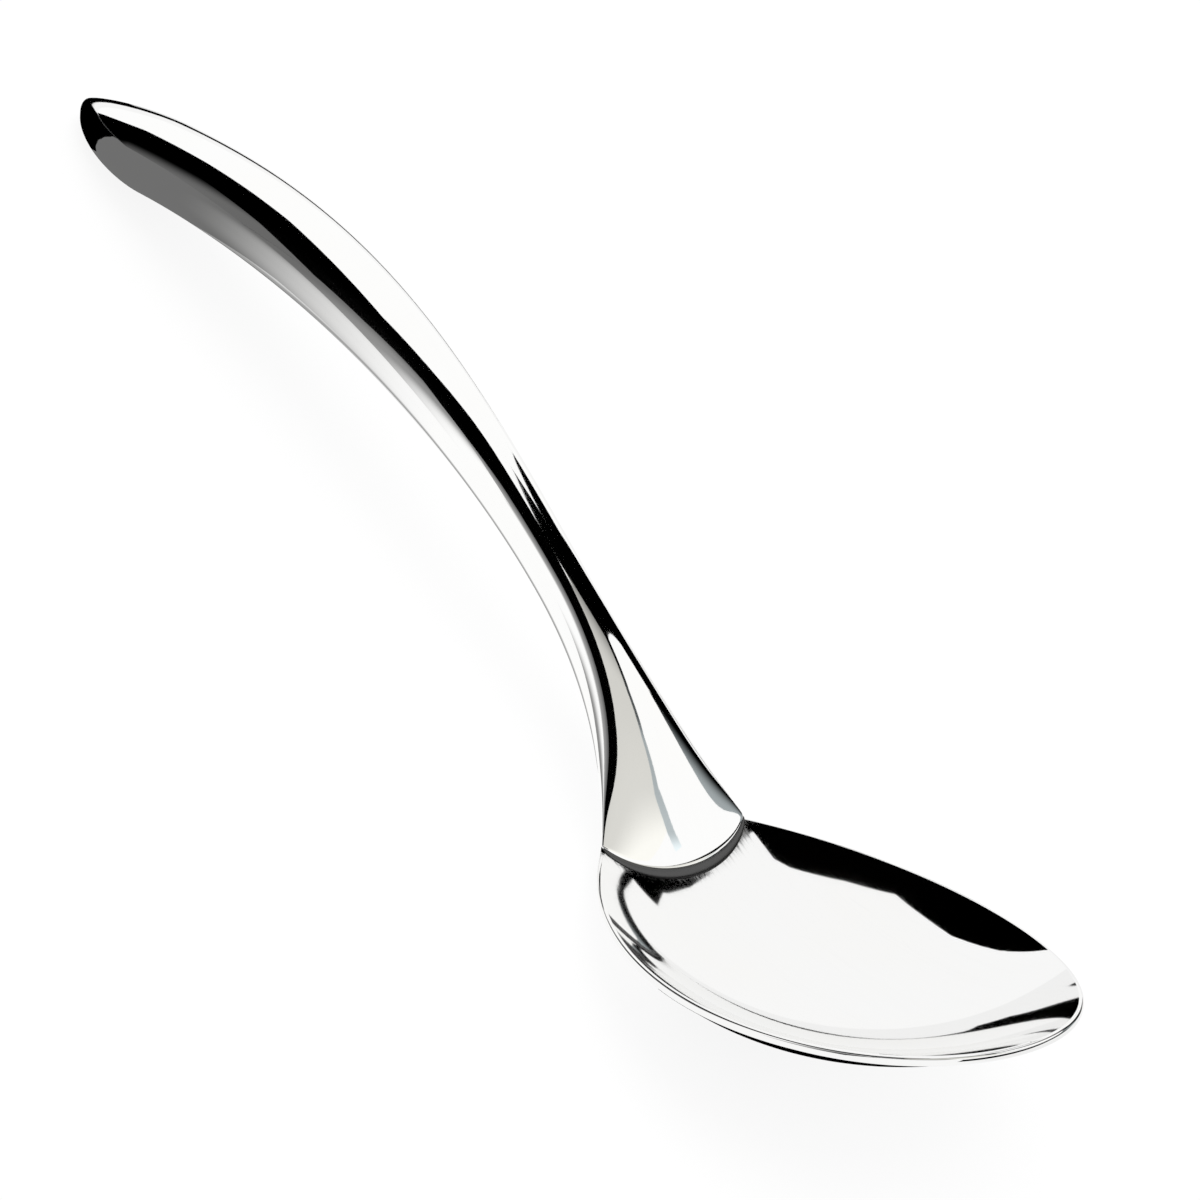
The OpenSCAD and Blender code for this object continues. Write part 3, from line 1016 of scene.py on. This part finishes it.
def set_camera(context, setup):
    """Aims the camera in the bowl's own axes, then tips it back with the spoon."""
    tilt, place = rest_pose(context.scene.spoon_sizes)
    view = -Vector((
        math.cos(setup.elevation) * math.cos(setup.azimuth),
        -math.cos(setup.elevation) * math.sin(setup.azimuth),
        math.sin(setup.elevation),
    ))
    level = view.cross(Vector((0, 0, 1))).normalized()
    upright = level.cross(view)
    right = level * math.cos(setup.roll) + upright * math.sin(setup.roll)
    up = upright * math.cos(setup.roll) - level * math.sin(setup.roll)
    per_pixel = SENSOR / setup.lens / PICTURE * setup.distance
    aside = (BOWL_IN_PICTURE[0] - PICTURE / 2) * per_pixel
    below = (BOWL_IN_PICTURE[1] - PICTURE / 2) * per_pixel
    eye = up * below - right * aside - view * setup.distance
    turn = Matrix((right, up, -view)).transposed().to_4x4()
    camera = bpy.data.objects.new("camera", bpy.data.cameras.new("camera"))
    camera.data.lens = setup.lens
    camera.data.sensor_width = SENSOR
    camera.matrix_world = (
        Matrix.Translation(place) @ Matrix.Rotation(-tilt, 4, "Y") @ Matrix.Translation(eye) @ turn
    )
    context.scene.collection.objects.link(camera)
    context.scene.camera = camera


def seen_directly(tree):
    """1 for rays from the camera and for rays that metal or glass sends on, and 0 for others."""
    path = tree.node("ShaderNodeLightPath")
    seen = Value(tree, path.outputs["Is Camera Ray"])
    for ray in ("Is Glossy Ray", "Is Transmission Ray"):
        seen = most(seen, Value(tree, path.outputs[ray]))
    return seen


def set_world(context, setup):
    world = bpy.data.worlds.new("studio")
    context.scene.world = world
    world.use_nodes = True
    world.node_tree.nodes.clear()
    tree = Tree(world.node_tree)
    level = mixed(setup.light, 1, seen_directly(tree))
    light = tree.node("ShaderNodeBackground", {}, {"Color": level, "Strength": 1.0})
    tree.node("ShaderNodeOutputWorld", {}, {"Surface": light.outputs[0]})


def add_plane(context, name, corners, material):
    """A flat stage piece with the given corners."""
    mesh = bpy.data.meshes.new(name)
    mesh.from_pydata(corners, [], [tuple(range(len(corners)))])
    mesh.materials.append(material)
    plane = bpy.data.objects.new(name, mesh)
    context.scene.collection.objects.link(plane)
    return plane


# Half the floor's width and the lamp's height, as shares of the room's size
FLOOR_SHARE = 3
LAMP_HEIGHT_SHARE = 1.2
FLOOR_COLOUR = (0.95, 0.95, 0.95, 1)
# The floor as the steel mirrors it, with painted shade by the grip: its darkest tone and its tone behind the
# spoon
FLOOR_SHADE_DARK = 0.16
FLOOR_BEHIND = 0.93
# Slope and start of the two lines on the floor between which the dark turns white, and how far
# behind the spoon it ends, in metres
DARK_LINE = (1.03, 0.08)
WHITE_LINE = (0.45, 0.012)
BEHIND_REACH = 0.04


def add_floor(context, setup):
    """A white floor that keeps a pale shadow. The steel mirrors it grey before and beyond the
    grip, as in the photo."""
    material, tree = new_material("floor")
    x, y, _ = tree.parts(tree.place())
    # Painted shade: only mirrored rays see the floor darken before and beyond the grip, for the grip's shade
    # on the floor; the camera sees it white
    before = least(y, 0)
    dark_x = before * DARK_LINE[0] - DARK_LINE[1]
    white_x = before * WHITE_LINE[0] - WHITE_LINE[1]
    along = ease((x - dark_x) / (white_x - dark_x))
    behind = ease(y / BEHIND_REACH)
    mirrored = mixed(most(mixed(FLOOR_SHADE_DARK, 1, along), behind), FLOOR_BEHIND, behind)
    camera = Value(tree, tree.node("ShaderNodeLightPath").outputs["Is Camera Ray"])
    level = mixed(mirrored, 1, camera)
    own = tree.node("ShaderNodeBsdfDiffuse", {}, {"Color": FLOOR_COLOUR})
    lift = tree.node("ShaderNodeEmission", {}, {"Color": level, "Strength": 1.0})
    share = mixed(seen_directly(tree), setup.floor_lift, camera)
    shader = tree.node("ShaderNodeMixShader", {}, {0: share, 1: own.outputs[0], 2: lift.outputs[0]})
    tree.node("ShaderNodeOutputMaterial", {}, {"Surface": shader.outputs[0]})
    far = FLOOR_SHARE * setup.room
    add_plane(context, "floor", [(-far, -far, 0), (far, -far, 0), (far, far, 0), (-far, far, 0)], material)


# Dark and pale cards round the white room, chosen so that the steel mirrors light and dark as in the photo.
# Each row holds a name, the direction that the card lies in, in degrees, its distance, its tint, its tones
# and its corners. Distances and corners are shares of the room's size. A corner goes across, to where the
# direction grows, and up on an upright card or out on a lying one. A tone has its place across, and the card
# fades from one to the next.
PLAIN = (1, 1, 1)
COOL = (0.88, 0.97, 1)
WARM = (1, 0.99, 0.94)
BLACK = ((0, 0), (1, 0))
UPRIGHT_CARDS = (
    (
        "right_wall", 104, 1, PLAIN, BLACK,
        ((-0.13, 0), (-0.13, 0.4), (-0.02, 0.62), (-0.02, 1.93), (0.24, 1.93), (0.24, 0.62),
         (0.24, 0.37), (0.15, 0.35), (0.15, 0)),
    ),
    (
        "right_fade", 90, 0.99, COOL, ((0.14, 0), (-0.16, 0.4)),
        ((-0.24, 0), (-0.24, 0.4), (0.14, 0.5), (0.14, 0)),
    ),
    (
        "left_wall", 190, 1, PLAIN, BLACK,
        ((-0.24, 0), (-0.3, 0.39), (-0.3, 0.7), (-0.14, 1.1), (-0.04, 1.33), (-0.04, 1.4), (0.92, 1.4),
         (0.8, 1.1), (0.76, 0.7), (0.66, 0.44), (0.6, 0)),
    ),
    (
        "left_edge", 190, 0.99, PLAIN, ((0.15, 0), (0.42, 0.14)),
        ((0.15, 0), (0.15, 0.3), (0.35, 0.42), (0.65, 0.43), (0.59, 0)),
    ),
    (
        "left_fade", 222, 1.25, PLAIN, ((0.08, 0.15), (0.3, 0.28), (0.53, 1)),
        ((-0.3, 0), (-0.3, 1.75), (0.2, 1.6), (0.56, 1.2), (0.56, 0)),
    ),
    ("mouth_wall", 40, 1, PLAIN, BLACK, ((-0.9, 0), (-0.9, 0.4), (0, 0.36), (0.9, 0.45), (0.9, 0))),
    (
        "front_wall", 285, 1, PLAIN, ((-0.3, 0.5), (0.35, 0)),
        ((-0.3, 0.05), (-0.3, 0.9), (0.35, 0.9), (0.35, 0.05)),
    ),
    (
        "spot", 121, 0.1, PLAIN, BLACK,
        ((-0.05, 0.058), (-0.043, 0.084), (-0.036, 0.118), (-0.028, 0.14), (-0.028, 0.126), (-0.034, 0.09),
         (-0.04, 0.067), (-0.044, 0.057)),
    ),
)
LYING_CARDS = (
    (
        "top_back", 155, 1.33, PLAIN, BLACK,
        ((-0.95, 0.95), (-0.6, 0.87), (-0.5, 0.86), (-0.41, 0.75), (-0.2, 0.54), (-0.04, 0.39),
         (-0.046, 0.485), (-0.058, 0.59), (-0.006, 0.65), (0.11, 0.67), (0.26, 0.7), (0.54, 0.87),
         (1.9, 0.75), (1.45, 0.45), (1.13, 0.18), (0.87, 0.12), (0.8, -0.4), (0.3, -0.5), (0.28, -0.15),
         (0.12, 0.18), (0.02, 0.29), (-0.21, 0.34), (-0.6, 0.42)),
    ),
    (
        "top_fade", 155, 1.345, PLAIN, ((0.75, 0.1), (1.3, 0.3), (1.9, 1)),
        ((0.7, -0.6), (0.7, 0.3), (1.2, 0.7), (2.2, 1), (2.4, 0.4), (2.2, -0.4), (1.6, -0.8)),
    ),
    (
        "top_streak", 75, 1.32, COOL, ((0.25, 0), (-0.02, 0.1), (-0.18, 0.42), (-0.9, 0.55), (-1.22, 1)),
        ((0.35, 0.55), (0.07, 0.5), (-0.15, 0.57), (-0.53, 0.81), (-0.96, 1.4), (-1.25, 1.85), (-1.16, 1.95),
         (-0.88, 1.49), (-0.46, 0.9), (-0.13, 0.66), (0.11, 0.61), (0.34, 0.69)),
    ),
    (
        "top_right", 75, 1.4, WARM, ((0.4, 0.2), (0.05, 0.65), (-0.45, 0.7), (-1.05, 1)),
        ((0.27, -0.6), (0.27, 0.05), (0.33, 0.083), (0.395, 0.24), (0.54, 0.476), (0.6, 0.6), (0.07, 0.55),
         (-0.14, 0.62), (-0.5, 0.87), (-0.9, 1.4), (-1.3, 1.4), (-1.3, -0.3)),
    ),
    ("top_front", 320, 1.37, PLAIN, BLACK, ((-0.6, 0.75), (-0.6, 1.3), (0.6, 1.3), (0.6, 0.75))),
    # Painted shade: the four sheets below lie just above the floor by the spoon. Only its mirror sees them,
    # and they stand in for the shade on the floor under and beside it
    (
        "end_mat", 180, 0.0004, PLAIN, BLACK,
        ((0.005, 0.078), (0.01, 0.087), (0.015, 0.1), (0.027, 0.133), (0.053, 0.213), (0.2, 0.6),
         (-0.02, 0.6), (-0.013, 0.2), (-0.009, 0.133), (-0.02, 0.123), (-0.04, 0.13), (-0.06, 0.13),
         (-0.075, 0.12), (-0.078, 0.1), (-0.078, 0.07), (-0.071, 0.047), (-0.063, 0.05), (-0.057, 0.073),
         (-0.043, 0.093), (-0.027, 0.1), (-0.013, 0.097), (-0.003, 0.083)),
    ),
    (
        "neck_mat", 180, 0.0003, PLAIN, ((0.002, 0.35), (0.0065, 0.7)),
        ((-0.001, 0.062), (-0.001, -0.03), (0.0065, -0.03), (0.0065, 0.045)),
    ),
    (
        "tip_mat", 180, 0.0004, PLAIN, BLACK,
        ((-0.072, 0.007), (-0.059, -0.013), (-0.053, -0.03), (-0.043, -0.05), (-0.037, -0.057),
         (-0.03, -0.05), (-0.037, -0.037), (-0.045, -0.02), (-0.057, -0.007), (-0.067, 0.007)),
    ),
    (
        "bowl_mat", 180, 0.0004, PLAIN, BLACK,
        ((-0.013, -0.062), (0, -0.057), (0.02, -0.06), (0.02, -0.08), (-0.007, -0.083), (-0.011, -0.077)),
    ),
)


def card_material(name, tint, tones, room):
    """A material that only gives its tone, which may change across the card."""
    material, tree = new_material(name)
    across = tree.parts(tree.place())[0] / room
    colour = Vector(tint) * tones[0][1]
    for (first_x, _), (last_x, tone) in zip(tones, tones[1:]):
        share = ease((across - first_x) / (last_x - first_x))
        colour = mixed_colour(tree, colour, Vector(tint) * tone, share)
    glow = tree.node("ShaderNodeEmission", {}, {"Color": colour, "Strength": 1.0})
    tree.node("ShaderNodeOutputMaterial", {}, {"Surface": glow.outputs[0]})
    return material


def add_cards(context, setup):
    """The cards, which only mirrored rays meet. Each is made towards -Y and then turned."""
    room = setup.room
    for table, upright in ((UPRIGHT_CARDS, True), (LYING_CARDS, False)):
        for name, direction, away, tint, tones, corners in table:
            if upright:
                points = [(x * room, -away * room, y * room) for x, y in corners]
            else:
                points = [(x * room, -y * room, away * room) for x, y in corners]
            card = add_plane(context, name, points, card_material(name, tint, tones, room))
            card.matrix_world = Matrix.Rotation(math.radians(direction + 90), 4, "Z")
            card.visible_camera = False
            card.visible_diffuse = False
            card.visible_transmission = False
            card.visible_shadow = False


def add_lamp(context, setup):
    """A wide soft lamp overhead, for the pale shadow under the spoon."""
    data = bpy.data.lights.new("overhead", "AREA")
    data.shape = "DISK"
    data.size = setup.room
    data.energy = setup.lamp
    lamp = bpy.data.objects.new("overhead", data)
    context.scene.collection.objects.link(lamp)
    lamp.location = (0, 0, LAMP_HEIGHT_SHARE * setup.room)
    lamp.visible_camera = False
    lamp.visible_glossy = False


class SPOON_PT_panel(bpy.types.Panel):
    """Lists the spoon's pieces and its sizes"""

    bl_label = "Serving spoon"
    bl_idname = "SPOON_PT_panel"
    bl_space_type = "VIEW_3D"
    bl_region_type = "UI"
    bl_category = "Spoon"

    def draw(self, context):
        for operator in OPERATORS:
            self.layout.operator(operator.bl_idname)
        for group in SETTINGS:
            settings = getattr(context.scene, group)
            box = self.layout.box()
            for name in settings.__annotations__:
                box.prop(settings, name)


OPERATORS = (SPOON_OT_bowl, SPOON_OT_shells, SPOON_OT_seam, SPOON_OT_mouth_welds, SPOON_OT_studio)
SETTINGS = {"spoon_sizes": SpoonSizes, "spoon_look": SteelLook, "spoon_studio": StudioSetup}
CLASSES = (*SETTINGS.values(), *OPERATORS, SPOON_PT_panel)


def register():
    for made in CLASSES:
        bpy.utils.register_class(made)
    for name, group in SETTINGS.items():
        setattr(bpy.types.Scene, name, bpy.props.PointerProperty(type=group))


def unregister():
    for name in SETTINGS:
        delattr(bpy.types.Scene, name)
    for made in reversed(CLASSES):
        bpy.utils.unregister_class(made)


def main():
    register()
    bpy.ops.spoon.bowl()
    bpy.ops.spoon.shells()
    bpy.ops.spoon.seam()
    bpy.ops.spoon.mouth_welds()
    bpy.ops.spoon.studio()


if __name__ == "__main__":
    main()
